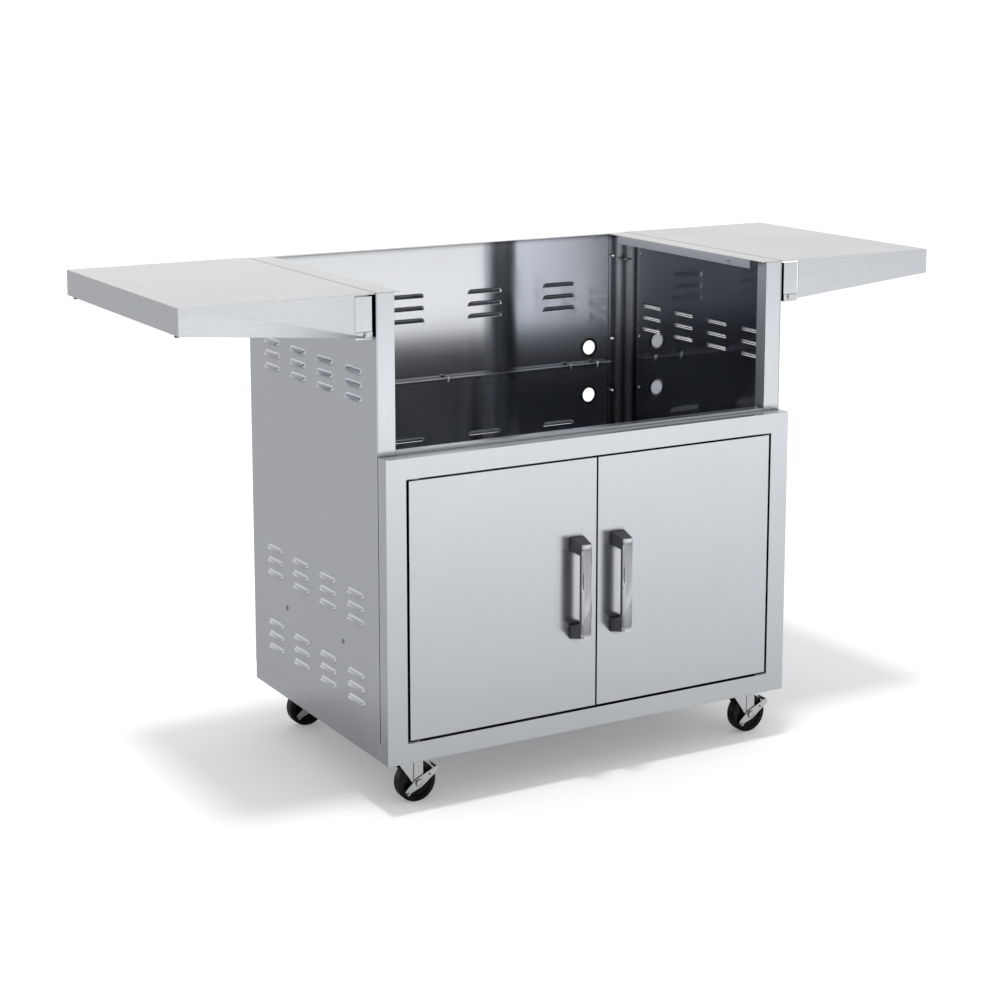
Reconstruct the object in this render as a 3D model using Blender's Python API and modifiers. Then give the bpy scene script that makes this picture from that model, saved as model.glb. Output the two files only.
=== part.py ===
"""Stainless steel grill cart: a louvred two-door cabinet with an open bay above it for a drop-in
grill, two fold-down side shelves and four braked swivel casters.

Sizes are in millimetres. X runs to the right, Y from the front to the back, Z up from the floor.
"""

import math

import bmesh
import bpy
from mathutils import Matrix, Vector

for ob in list(bpy.data.objects):
    bpy.data.objects.remove(ob, do_unlink=True)

MM = 0.001

# Sheet metal and clearances
SHEET = 1.2
GAP = 0.3
LIP = 12.0

# Overall body
CART_W = 860.0
BODY_D = 573.0
BODY_H = 836.5
BASE_Z = 98.0
BASE_H = 35.0
FLOOR_H = 10.0

# Face frame round the doors
FACE_H = 550.0
FACE_D = 29.0
STILE_W = 39.6
RAIL_LOW_H = 36.1
RAIL_TOP_H = 37.8

# Front posts beside the open bay, and the rail between them
POST_W = 35.4
POST_D = 28.0
CROSS_RISE = 5.0
CROSS_DROP = 30.0
CROSS_D = 20.0

# Rear corner posts, back panels and the strip over their seam
CORNER_BACK_W = 40.0
CORNER_SIDE_W = 42.0
CORNER_LIP = 9.0
SEAM_Z = 565.0
SEAM_STRIP_H = 22.0
SEAM_STRIP_D = 17.0
BACK_STRIP_D = 12.0

# Top rails that carry the grill
RAIL_W = 46.4
RAIL_FLANGE_H = 17.0
RAIL_FLANGE_FRONT = 40.0
RAIL_FLANGE_BACK = 45.0

# Louvres
LOUVER_L = 71.0
LOUVER_H = 11.0
LOUVER_OUT = 5.5
LOUVER_WALL = 1.1
LOUVER_ROOF = 1.5
LOUVER_LIP_H = 2.2
LOUVER_TAPER = 5.0
LOUVER_ROWS = 3
SIDE_ROW_PITCH = 24.5
SIDE_COLUMNS = 4
SIDE_COLUMN_PITCH = 115.6
SIDE_COLUMN_MID = 295.0
SIDE_GROUP_Z = (115.5, 263.5, 667.0)
BACK_LOUVER_L = 80.0
BACK_ROW_PITCH = 25.0
BACK_COLUMNS = 4
BACK_COLUMN_PITCH = 178.0
BACK_UPPER_GROUP_Z = 711.0
BACK_LOWER_GROUP_Z = 418.0

# Holes for the gas hose, and the grommets in them
GAS_X = 342.0
GAS_ABOVE_SEAM = 32.0
GAS_BELOW_SEAM = 69.5
GAS_HOLE_R = 17.8
GROMMET_BORE_R = 14.8
GROMMET_FLANGE_R = 20.5
GROMMET_FLANGE_T = 2.0

# Doors
DOOR_D = 20.0
DOOR_SIDE_GAP = 5.0
DOOR_LOW_GAP = 5.0
DOOR_TOP_GAP = 3.5
DOOR_MID_GAP = 3.6
HINGE_IN = 8.0
HINGE_BACK = 8.0
HINGE_PIN_R = 2.5
HINGE_PIN_CLEAR = 0.5
HINGE_PIN_REACH = 9.0
HINGE_LEAF_L = 24.0
HINGE_LEAF_W = 12.0
HINGE_LEAF_T = 1.6

# Door handles
HANDLE_X = 44.0
HANDLE_MID_Z = 272.0
HANDLE_DOOR_L = 190.0
HANDLE_DOOR_W = 28.7
HANDLE_ARM_H = 25.0
HANDLE_BAR_L = 175.0
HANDLE_BAR_W = 21.3
HANDLE_BAR_T = 6.0
HANDLE_OUT = 34.0
HANDLE_SPINE_T = 6.0
GROOVE_FROM_END = 9.0
GROOVE_W = 1.2
GROOVE_DEPTH = 0.5

# Folding side shelves
SHELF_CLEAR = 2.0
SHELF_W = 355.6
SHELF_D = 549.2
APRON_OUTER = 47.0
APRON_INNER = 78.0
SHELF_LIP = 16.0
NOTCH_W = 38.0
NOTCH_TOP = 2.5
NOTCH_LOW = 66.5
TONGUE_CLEAR = 5.0
PIVOT_OUT = 19.5
PIVOT_DOWN = 71.5
PIVOT_R = 2.5
PIVOT_CLEAR = 0.3
PIVOT_HEAD_R = 4.6
PIVOT_HEAD_T = 1.2
BRACKET_T = 1.5
BRACKET_SLIT = 1.5
BRACKET_TOP = 5.5
BRACKET_BELOW_PIVOT = 8.0
BRACKET_REACH = 34.0
BRACKET_FLANGE = 26.0
BUMPER_R = 5.0
BUMPER_H = 4.2
BUMPER_FROM_END = 26.0
BUMPER_FROM_EDGE = 8.0

# Casters
CASTER_X = 368.0
CASTER_Y = 66.0
CASTER_BACK = 42.0
CASTER_TRAIL = 24.0
CASTER_PLATE = 62.0
CASTER_PLATE_T = 2.5
RACE_R = 22.0
RACE_H = 7.5
WHEEL_R = 37.5
WHEEL_W = 24.0
WHEEL_EDGE = 4.0
WHEEL_EDGE_STEPS = 3
WHEEL_RECESS = 3.0
WHEEL_HUB_R = 13.0
WHEEL_RIM_R = 28.0
AXLE_R = 4.0
AXLE_CLEAR = 0.4
AXLE_END = 2.2
FORK_T = 2.2
FORK_CLEAR = 2.0
FORK_CROWN_T = 3.0
FORK_CROWN_CLEAR = 6.0
FORK_FOOT_R = 9.0
FORK_FOOT_START = 215.0
FORK_BACK_X = -18.0
CROWN_INSET = 1.0
RACE_STEP = 1.2
PEDAL_T = 1.6
PEDAL_CLEAR = 0.6
PEDAL_ANGLE = 31.0
PEDAL_BOSS_R = 9.5
PEDAL_FRONT_REACH = 44.5
PEDAL_BACK_REACH = 31.0
PEDAL_TIP_R = 5.0
PEDAL_WING_L = 26.0
PEDAL_TAB_L = 7.0

# Sides of a round piece, and the distance in metres under which two points become one
ROUND_STEPS = 24
MERGE = 0.00001

# Worked out from the sizes above
HALF_W = CART_W / 2
TOP_Z = BASE_Z + BODY_H
FLOOR_Z = BASE_Z + FLOOR_H
SEAT_Z = BASE_Z + BASE_H
FACE_TOP_Z = BASE_Z + FACE_H
TRAY_Y = FACE_D + GAP
POST_Y = TRAY_Y + SHEET + GAP
BODY_TOP_Z = TOP_Z - SHEET - GAP
WEB_X = HALF_W - SHEET - GAP - SHEET / 2
SIDE_END_Y = BODY_D - SHEET - GAP
OPEN_LEFT = -HALF_W + STILE_W
OPEN_LOW = BASE_Z + RAIL_LOW_H
OPEN_TOP = FACE_TOP_Z - RAIL_TOP_H
DOOR_LOW = OPEN_LOW + DOOR_LOW_GAP
DOOR_TOP = OPEN_TOP - DOOR_TOP_GAP
DOOR_EDGE_X = OPEN_LEFT + DOOR_SIDE_GAP
HINGE_X = DOOR_EDGE_X + HINGE_IN
SHELF_IN_X = HALF_W + SHELF_CLEAR
SHELF_OUT_X = SHELF_IN_X + SHELF_W
SHELF_END_Y = POST_Y + SHELF_D
PIVOT_X = HALF_W + PIVOT_OUT
PIVOT_Z = TOP_Z - PIVOT_DOWN
HANDLE_FRONT = HANDLE_OUT + GAP + HANDLE_BAR_T
PIN_HEAD_Y = SHELF_END_Y + GAP + PIVOT_HEAD_T
FRONT_Y = (HANDLE_FRONT - PIN_HEAD_Y) / 2
PIN_HOLE_R = HINGE_PIN_R + HINGE_PIN_CLEAR


def collection(name, hidden=False):
    group = bpy.data.collections.new(name)
    group.hide_render = hidden
    bpy.context.scene.collection.children.link(group)
    return group


CART = collection("grill_cart")
CUTTERS = collection("cutters", hidden=True)


def material(name, colour, roughness, metallic):
    mat = bpy.data.materials.new(name)
    mat.use_nodes = True
    shader = mat.node_tree.nodes["Principled BSDF"]
    shader.inputs["Base Color"].default_value = (*colour, 1.0)
    shader.inputs["Roughness"].default_value = roughness
    shader.inputs["Metallic"].default_value = metallic
    return mat


BRUSHED = material("brushed_steel", (0.72, 0.73, 0.74), 0.32, 1.0)
POLISHED = material("polished_steel", (0.62, 0.63, 0.66), 0.14, 1.0)
BRIGHT = material("bright_handle_steel", (0.85, 0.86, 0.88), 0.12, 1.0)
ZINC = material("zinc_plate", (0.66, 0.68, 0.70), 0.35, 1.0)
DARK_PLASTIC = material("dark_grey_plastic", (0.055, 0.06, 0.07), 0.45, 0.0)
RUBBER = material("black_rubber", (0.02, 0.02, 0.022), 0.7, 0.0)


def to_world(x, y, z):
    return Vector((x, FRONT_Y + y, z)) * MM


def make_object(name, mesh, at, mat=None, pivot=None):
    """Link a mesh at a place in the cart, under a joint's empty where it moves."""
    ob = bpy.data.objects.new(name, mesh)
    if mat is None:
        ob.display_type = "WIRE"
        ob.hide_render = True
        CUTTERS.objects.link(ob)
    else:
        mesh.materials.append(mat)
        CART.objects.link(ob)
    ob.location = to_world(*at)
    if pivot is not None:
        ob.parent = pivot
        ob.location = to_world(*at) - Vector(pivot["world"])
    return ob


def joint_empty(name, at, parent=None):
    """An empty on a joint's axis, which carries the pieces that turn there."""
    empty = bpy.data.objects.new(name, None)
    CART.objects.link(empty)
    place = to_world(*at)
    empty["world"] = list(place)
    empty.location = place
    if parent is not None:
        empty.parent = parent
        empty.location = place - Vector(parent["world"])
    return empty


def box_mesh(name, size, middle=(0, 0, 0)):
    mesh = bpy.data.meshes.new(name)
    bm = bmesh.new()
    placed = Matrix.Translation(Vector(middle) * MM) @ Matrix.Diagonal(Vector((*size, 1.0)))
    bmesh.ops.create_cube(bm, size=MM, matrix=placed)
    bm.to_mesh(mesh)
    bm.free()
    return mesh


def span_box(name, low, high, mat=None, pivot=None):
    """A plain box between two corners of the cart."""
    middle = [(a + b) / 2 for a, b in zip(low, high)]
    size = [b - a for a, b in zip(low, high)]
    return make_object(name, box_mesh(name, size), middle, mat, pivot)


def boolean(ob, cutter, operation="DIFFERENCE"):
    mod = ob.modifiers.new(cutter.name, "BOOLEAN")
    mod.operation = operation
    mod.solver = "EXACT"
    mod.object = cutter


def solidify(ob, thickness, offset):
    mod = ob.modifiers.new("sheet", "SOLIDIFY")
    mod.thickness = thickness * MM
    mod.offset = offset
    mod.use_even_offset = True


def folded_sheet(name, profile, plane, start, length, thickness, mat):
    """A bent sheet: its middle line, drawn in one plane, drawn out along the third axis."""
    axis = {"XY": Vector((0, 0, 1)), "XZ": Vector((0, 1, 0)), "YZ": Vector((1, 0, 0))}[plane]
    mesh = bpy.data.meshes.new(name)
    bm = bmesh.new()
    verts = []
    for a, b in profile:
        if plane == "XY":
            point = Vector((a, b, start))
        elif plane == "XZ":
            point = Vector((a, start, b))
        else:
            point = Vector((start, a, b))
        verts.append(bm.verts.new(point * MM))
    edges = [bm.edges.new(pair) for pair in zip(verts, verts[1:])]
    drawn = bmesh.ops.extrude_edge_only(bm, edges=edges)
    moved = [item for item in drawn["geom"] if isinstance(item, bmesh.types.BMVert)]
    bmesh.ops.translate(bm, verts=moved, vec=axis * length * MM)
    bmesh.ops.recalc_face_normals(bm, faces=bm.faces)
    bm.to_mesh(mesh)
    bm.free()
    ob = make_object(name, mesh, (0, 0, 0), mat)
    solidify(ob, thickness, 0.0)
    return ob


def open_pan(name, low, high, open_sides, mat, pivot=None):
    """A pressed pan: a box without the faces whose outward axes are named."""
    middle = [(a + b) / 2 for a, b in zip(low, high)]
    size = [b - a for a, b in zip(low, high)]
    mesh = box_mesh(name, size)
    bm = bmesh.new()
    bm.from_mesh(mesh)
    bm.normal_update()
    gone = []
    for face in bm.faces:
        if any(face.normal.dot(Vector(side)) > 0.9 for side in open_sides):
            gone.append(face)
    bmesh.ops.delete(bm, geom=gone, context="FACES")
    bm.to_mesh(mesh)
    bm.free()
    ob = make_object(name, mesh, middle, mat, pivot)
    solidify(ob, SHEET, -1.0)
    return ob


def turned_mesh(name, profile, steps=ROUND_STEPS):
    """A mesh turned about its own Z, from radius and height pairs that run top to bottom outside."""
    mesh = bpy.data.meshes.new(name)
    bm = bmesh.new()
    verts = [bm.verts.new(Vector((r, 0, z)) * MM) for r, z in profile]
    for pair in zip(verts, verts[1:]):
        bm.edges.new(pair)
    if profile[0][0] > 0:
        bm.edges.new((verts[-1], verts[0]))
    bm.to_mesh(mesh)
    bm.free()
    ob = bpy.data.objects.new(name + "_turning", mesh)
    CART.objects.link(ob)
    mod = ob.modifiers.new("turn", "SCREW")
    mod.steps = steps
    mod.render_steps = steps
    mod.use_merge_vertices = True
    mod.merge_threshold = MERGE
    bpy.context.view_layer.update()
    seen = ob.evaluated_get(bpy.context.evaluated_depsgraph_get())
    turned = bpy.data.meshes.new_from_object(seen)
    bpy.data.objects.remove(ob, do_unlink=True)
    bm = bmesh.new()
    bm.from_mesh(turned)
    bmesh.ops.remove_doubles(bm, verts=bm.verts, dist=MERGE)
    bmesh.ops.recalc_face_normals(bm, faces=bm.faces)
    bm.to_mesh(turned)
    bm.free()
    turned.name = name
    return turned


def lay_back(mesh):
    """Lay a mesh that was made about Z along Y, its top to the back."""
    mesh.transform(Matrix.Rotation(math.radians(-90), 4, "X"))
    return mesh


def rod_mesh(name, radius, low, high, steps=ROUND_STEPS):
    return turned_mesh(name, [(0, high), (radius, high), (radius, low), (0, low)], steps)


def flat_mesh(name, outline, thickness):
    """A flat plate from a 2D curve, lying in X and Z with its thickness along Y."""
    curve = bpy.data.curves.new(name, "CURVE")
    curve.dimensions = "2D"
    curve.fill_mode = "BOTH"
    curve.extrude = thickness / 2 * MM
    line = curve.splines.new("POLY")
    line.points.add(len(outline) - 1)
    for point, (x, z) in zip(line.points, outline):
        point.co = (x * MM, z * MM, 0.0, 1.0)
    line.use_cyclic_u = True
    ob = bpy.data.objects.new(name + "_outline", curve)
    CART.objects.link(ob)
    bpy.context.view_layer.update()
    seen = ob.evaluated_get(bpy.context.evaluated_depsgraph_get())
    mesh = bpy.data.meshes.new_from_object(seen)
    bpy.data.objects.remove(ob, do_unlink=True)
    bm = bmesh.new()
    bm.from_mesh(mesh)
    bmesh.ops.remove_doubles(bm, verts=bm.verts, dist=MERGE)
    bmesh.ops.recalc_face_normals(bm, faces=bm.faces)
    bm.to_mesh(mesh)
    bm.free()
    mesh.transform(Matrix.Rotation(math.radians(90), 4, "X"))
    mesh.name = name
    return mesh


def arc(cx, cz, radius, start, end, steps):
    """Points on an arc between two angles, in degrees."""
    points = []
    for i in range(steps + 1):
        angle = math.radians(start + (end - start) * i / steps)
        points.append((cx + radius * math.cos(angle), cz + radius * math.sin(angle)))
    return points


def wedge(bm, frame, length, near, far, base_span, tip_span, taper):
    """A cube whose outer face is drawn in at both ends and slid down: one louvre's hood or hollow."""
    made = bmesh.ops.create_cube(bm, size=1.0)
    for vert in made["verts"]:
        outer = vert.co.y > 0
        span = tip_span if outer else base_span
        half = length / 2 - (taper if outer else 0.0)
        along = half if vert.co.x > 0 else -half
        out = far if outer else near
        up = span[1] if vert.co.z > 0 else span[0]
        vert.co = frame @ (Vector((along, out, up)) * MM)


def louvers(panel, name, centres, outward, length):
    """Press louvres out of a panel: a hood over each slit, open along its lower edge."""
    z_axis = Vector((0, 0, 1))
    normal = Vector(outward)
    along = normal.cross(z_axis)
    turn = Matrix((along, normal, z_axis)).transposed().to_4x4()
    half = LOUVER_H / 2
    below = -half - LOUVER_WALL
    lip_top = -half + LOUVER_LIP_H
    hoods = bmesh.new()
    hollows = bmesh.new()
    for centre in centres:
        frame = Matrix.Translation(Vector(centre) * MM) @ turn
        wedge(hoods, frame, length, -SHEET / 2, LOUVER_OUT, (-half, half), (-half, lip_top), LOUVER_TAPER)
        wedge(hollows, frame, length - 2 * LOUVER_WALL, -SHEET * 2, LOUVER_OUT - LOUVER_WALL,
              (below, half - LOUVER_ROOF), (below, lip_top - LOUVER_WALL), LOUVER_TAPER)
    for bm, kind, operation in ((hoods, "hoods", "UNION"), (hollows, "hollows", "DIFFERENCE")):
        bmesh.ops.recalc_face_normals(bm, faces=bm.faces)
        mesh = bpy.data.meshes.new(f"{name}_{kind}")
        bm.to_mesh(mesh)
        bm.free()
        boolean(panel, make_object(mesh.name, mesh, (0, 0, 0)), operation)


def spread(count, pitch, middle=0.0):
    return [middle + pitch * (i - (count - 1) / 2) for i in range(count)]


def base_tray():
    """The folded base: a skirt all round, with the cabinet floor part of the way up it."""
    low = (-HALF_W, TRAY_Y, BASE_Z)
    high = (HALF_W, BODY_D, SEAT_Z)
    tray = span_box("base_tray", low, high, BRUSHED)
    inner_low = (low[0] + SHEET, low[1] + SHEET)
    inner_high = (high[0] - SHEET, high[1] - SHEET)
    boolean(tray, span_box("tray_top_cut", (*inner_low, FLOOR_Z), (*inner_high, SEAT_Z + LIP)))
    under = span_box("tray_under_cut", (*inner_low, BASE_Z + SHEET), (*inner_high, FLOOR_Z - SHEET))
    boolean(tray, under)
    mouth_low = (low[0] + LIP, low[1] + LIP, BASE_Z - LIP)
    mouth_high = (high[0] - LIP, high[1] - LIP, BASE_Z + SHEET * 2)
    boolean(tray, span_box("tray_mouth_cut", mouth_low, mouth_high))


def face_frame():
    """The picture frame round the doors, folded back along its outer and inner edges."""
    frame = span_box("face_frame", (-HALF_W, 0, BASE_Z), (HALF_W, FACE_D, FACE_TOP_Z), BRUSHED)
    opening = span_box("face_opening", (OPEN_LEFT, -LIP, OPEN_LOW), (-OPEN_LEFT, FACE_D + LIP, OPEN_TOP))
    hollow = span_box("face_hollow", (-HALF_W + SHEET, SHEET, BASE_Z + SHEET),
                      (HALF_W - SHEET, FACE_D + LIP, FACE_TOP_Z - SHEET))
    keep = span_box("face_hollow_core", (OPEN_LEFT - SHEET, -LIP, OPEN_LOW - SHEET),
                    (-OPEN_LEFT + SHEET, FACE_D + LIP * 2, OPEN_TOP + SHEET))
    boolean(hollow, keep)
    boolean(frame, opening)
    boolean(frame, hollow)


def cross_rail():
    """The rail between the front posts, just proud of the face frame's top ledge."""
    face_y = POST_Y + SHEET / 2
    top_z = FACE_TOP_Z + CROSS_RISE - SHEET / 2
    half = HALF_W - POST_W - GAP
    profile = [(face_y, FACE_TOP_Z - CROSS_DROP), (face_y, top_z), (face_y + CROSS_D, top_z)]
    folded_sheet("front_cross_rail", profile, "YZ", -half, 2 * half, SHEET, BRUSHED)


def side_panels():
    """The outer side sheets, with three bands of louvres."""
    columns = spread(SIDE_COLUMNS, SIDE_COLUMN_PITCH, SIDE_COLUMN_MID)
    for name, side in (("left", -1), ("right", 1)):
        outer = side * HALF_W
        inner = side * (HALF_W - SHEET)
        panel = span_box(f"{name}_side_panel", (min(outer, inner), POST_Y, SEAT_Z + GAP),
                         (max(outer, inner), SIDE_END_Y, BODY_TOP_Z), BRUSHED)
        centres = []
        for middle in SIDE_GROUP_Z:
            for z in spread(LOUVER_ROWS, SIDE_ROW_PITCH, BASE_Z + middle):
                centres += [(outer, y, z) for y in columns]
        louvers(panel, f"{name}_side", centres, (side, 0, 0), LOUVER_L)


def front_posts():
    """Channels that stand behind the face frame and show beside the open bay."""
    near = HALF_W - POST_W + SHEET / 2
    face_y = POST_Y + SHEET / 2
    for name, side in (("left", -1), ("right", 1)):
        profile = [(side * WEB_X, POST_Y + POST_D), (side * WEB_X, face_y),
                   (side * near, face_y), (side * near, POST_Y + POST_D)]
        start = FLOOR_Z + GAP
        folded_sheet(f"{name}_front_post", profile, "XY", start, BODY_TOP_Z - start, SHEET, BRUSHED)


def corner_posts():
    """Folded angles inside the rear corners."""
    back_y = BODY_D - SHEET - GAP - SHEET / 2
    for name, side in (("left", -1), ("right", 1)):
        profile = [(side * (WEB_X - CORNER_LIP), back_y - CORNER_SIDE_W),
                   (side * WEB_X, back_y - CORNER_SIDE_W), (side * WEB_X, back_y),
                   (side * (HALF_W - CORNER_BACK_W), back_y)]
        start = FLOOR_Z + GAP
        folded_sheet(f"{name}_rear_post", profile, "XY", start, BODY_TOP_Z - start, SHEET, POLISHED)


def back_panels():
    """Two louvred back sheets, one above the other, each with a hole for the gas hose."""
    columns = spread(BACK_COLUMNS, BACK_COLUMN_PITCH)
    seam = BASE_Z + SEAM_Z
    sheets = (("upper", seam + GAP / 2, BODY_TOP_Z, BACK_UPPER_GROUP_Z, seam + GAS_ABOVE_SEAM),
              ("lower", SEAT_Z + GAP, seam - GAP / 2, BACK_LOWER_GROUP_Z, seam - GAS_BELOW_SEAM))
    for name, low, high, group, gas in sheets:
        panel = span_box(f"{name}_back_panel", (-HALF_W, BODY_D - SHEET, low),
                         (HALF_W, BODY_D, high), POLISHED)
        centres = []
        for z in spread(LOUVER_ROWS, BACK_ROW_PITCH, BASE_Z + group):
            centres += [(x, BODY_D, z) for x in columns]
        louvers(panel, f"{name}_back", centres, (0, 1, 0), BACK_LOUVER_L)
        hole = lay_back(rod_mesh(f"{name}_gas_cut", GAS_HOLE_R, -LIP, LIP))
        boolean(panel, make_object(f"{name}_gas_cut", hole, (GAS_X, BODY_D, gas)))
        grommet(f"{name}_gas_grommet", (GAS_X, BODY_D - SHEET / 2, gas))


def back_top_strip():
    """The narrow flat strip on the back panel's top edge, level with the side rails."""
    half = HALF_W - RAIL_W - GAP
    span_box("back_top_strip", (-half, BODY_D - BACK_STRIP_D, TOP_Z - SHEET), (half, BODY_D, TOP_Z), POLISHED)


def grommet(name, at):
    """A rubber ring with a groove round it that grips the edge of a gas hole."""
    neck = GAS_HOLE_R - GAP
    groove = SHEET / 2 + GAP
    outside = groove + GROMMET_FLANGE_T
    profile = [(GROMMET_BORE_R, outside), (GROMMET_FLANGE_R, outside), (GROMMET_FLANGE_R, groove),
               (neck, groove), (neck, -groove), (GROMMET_FLANGE_R, -groove),
               (GROMMET_FLANGE_R, -outside), (GROMMET_BORE_R, -outside)]
    make_object(name, lay_back(turned_mesh(name, profile)), at, RUBBER)


def seam_strip():
    """The angle strip inside the back: its shelf juts in at the seam, its leg hangs below it."""
    half = HALF_W - CORNER_BACK_W - SHEET
    back_y = BODY_D - SHEET - GAP - SHEET / 2
    top = BASE_Z + SEAM_Z
    profile = [(back_y - SEAM_STRIP_D, top), (back_y, top), (back_y, top - SEAM_STRIP_H)]
    folded_sheet("back_seam_strip", profile, "YZ", -half, 2 * half, SHEET, POLISHED)


def top_rails():
    """Flat rails on the cart's sides, each with a hanging flange that a drop-in grill bears on."""
    top = TOP_Z - SHEET / 2
    for name, side in (("left", -1), ("right", 1)):
        near = side * (HALF_W - RAIL_W + SHEET / 2)
        profile = [(side * HALF_W, top), (near, top), (near, TOP_Z - RAIL_FLANGE_H)]
        rail = folded_sheet(f"{name}_top_rail", profile, "XZ", POST_Y, BODY_D - POST_Y, SHEET, BRUSHED)
        cut_low = TOP_Z - RAIL_FLANGE_H - LIP
        cut_high = TOP_Z - SHEET
        for end, y0, y1 in (("front", 0, POST_Y + RAIL_FLANGE_FRONT),
                            ("rear", BODY_D - RAIL_FLANGE_BACK, BODY_D + LIP)):
            boolean(rail, span_box(f"{name}_rail_{end}_cut", (near - LIP, y0, cut_low),
                                   (near + LIP, y1, cut_high)))


def door(name, side):
    """A door pan on two pivot pins, with its handle: side is -1 on the left, 1 on the right."""
    hinge = joint_empty(f"{name}_door_hinge", (side * -HINGE_X, HINGE_BACK, (DOOR_LOW + DOOR_TOP) / 2))
    edge = side * -DOOR_EDGE_X
    inner = side * DOOR_MID_GAP / 2
    pan = open_pan(f"{name}_door", (min(edge, inner), 0, DOOR_LOW), (max(edge, inner), DOOR_D, DOOR_TOP),
                   [(0, 1, 0)], BRUSHED, hinge)
    for end, flange, frame_edge, up in (("upper", DOOR_TOP, OPEN_TOP, 1), ("lower", DOOR_LOW, OPEN_LOW, -1)):
        at = (side * -HINGE_X, HINGE_BACK, flange)
        cut = rod_mesh(f"{name}_{end}_pin_cut", PIN_HOLE_R, -LIP / 2, LIP / 2)
        cutter = make_object(f"{name}_{end}_pin_cut", cut, at)
        boolean(pan, cutter)
        door_pivot(f"{name}_{end}_door_pivot", side, frame_edge, flange, up)
    handle(name, side, hinge)


def door_pivot(name, side, frame_edge, flange, up):
    """A small leaf on the face frame with the pin that a door turns on."""
    x = side * -HINGE_X
    near = frame_edge - up * GAP
    far = near - up * HINGE_LEAF_T
    leaf = span_box(name, (x - HINGE_LEAF_L / 2, HINGE_BACK - HINGE_LEAF_W / 2, min(near, far)),
                    (x + HINGE_LEAF_L / 2, HINGE_BACK + HINGE_LEAF_W / 2, max(near, far)), ZINC)
    tip = flange - up * HINGE_PIN_REACH
    root = (near + far) / 2
    pin = rod_mesh(name + "_pin", HINGE_PIN_R, min(tip, root), max(tip, root))
    boolean(leaf, make_object(name + "_pin", pin, (x, HINGE_BACK, 0)), "UNION")


def handle_arm(name, z_door, z_bar, x):
    """A tapered arm from the door out to the spine: broad at the door, narrow at the bar."""
    mesh = bpy.data.meshes.new(name)
    bm = bmesh.new()
    made = bmesh.ops.create_cube(bm, size=1.0)
    for vert in made["verts"]:
        at_bar = vert.co.y < 0
        half = (HANDLE_BAR_W if at_bar else HANDLE_DOOR_W) / 2
        low, high = z_bar if at_bar else z_door
        vert.co.x = (half if vert.co.x > 0 else -half) * MM
        vert.co.z = (high if vert.co.z > 0 else low) * MM
        vert.co.y = (-HANDLE_OUT if at_bar else -GAP) * MM
    bm.to_mesh(mesh)
    bm.free()
    return make_object(name, mesh, (x, 0, 0))


def handle(name, side, hinge):
    """A dark body of two arms and a spine, with a half-round bright bar along its front."""
    x = side * HANDLE_X
    middle = BASE_Z + HANDLE_MID_Z
    low_bar = middle - HANDLE_BAR_L / 2
    high_bar = middle + HANDLE_BAR_L / 2
    low_door = middle - HANDLE_DOOR_L / 2
    high_door = middle + HANDLE_DOOR_L / 2
    body = span_box(f"{name}_handle_body", (x - HANDLE_BAR_W / 2, -HANDLE_OUT, low_bar),
                    (x + HANDLE_BAR_W / 2, -HANDLE_OUT + HANDLE_SPINE_T, high_bar), DARK_PLASTIC, hinge)
    narrow = HANDLE_ARM_H - (HANDLE_DOOR_L - HANDLE_BAR_L) / 4
    upper = handle_arm(f"{name}_upper_arm", (high_door - HANDLE_ARM_H, high_door),
                       (high_bar - narrow, high_bar), x)
    lower = handle_arm(f"{name}_lower_arm", (low_door, low_door + HANDLE_ARM_H),
                       (low_bar, low_bar + narrow), x)
    boolean(body, upper, "UNION")
    boolean(body, lower, "UNION")
    handle_bar(f"{name}_handle_bar", x, middle, hinge)


def handle_bar(name, x, middle, hinge):
    """A turned bar with a groove near each end, flattened and cut to its front half."""
    radius = HANDLE_BAR_W / 2
    groove_r = radius - GROOVE_DEPTH
    half = HANDLE_BAR_L / 2
    profile = [(0, half), (radius, half)]
    for end in (1, -1):
        edge = half - GROOVE_FROM_END
        near, far = (edge, edge - GROOVE_W) if end > 0 else (-edge + GROOVE_W, -edge)
        profile += [(radius, near), (groove_r, near), (groove_r, far), (radius, far)]
    profile += [(radius, -half), (0, -half)]
    mesh = turned_mesh(name, profile)
    mesh.transform(Matrix.Diagonal(Vector((1.0, HANDLE_BAR_T / radius, 1.0, 1.0))))
    bar = make_object(name, mesh, (x, -HANDLE_OUT - GAP, middle), BRIGHT, hinge)
    back = span_box(name + "_back_cut", (x - HANDLE_BAR_W, -HANDLE_OUT - GAP, middle - HANDLE_BAR_L),
                    (x + HANDLE_BAR_W, LIP, middle + HANDLE_BAR_L))
    boolean(bar, back)


def shelf_pan(name, side, pivot):
    """A shelf's pan: a flat top and three aprons, the front and rear ones deepest at the cart."""
    low = (min(side * SHELF_IN_X, side * SHELF_OUT_X), POST_Y, TOP_Z - APRON_INNER)
    high = (max(side * SHELF_IN_X, side * SHELF_OUT_X), SHELF_END_Y, TOP_Z)
    pan = open_pan(f"{name}_shelf", low, high, [(0, 0, -1), (-side, 0, 0)], BRUSHED, pivot)
    for vert in pan.data.vertices:
        if vert.co.z < 0 and vert.co.x * side > 0:
            vert.co.z += (APRON_INNER - APRON_OUTER) * MM
    return pan


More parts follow.
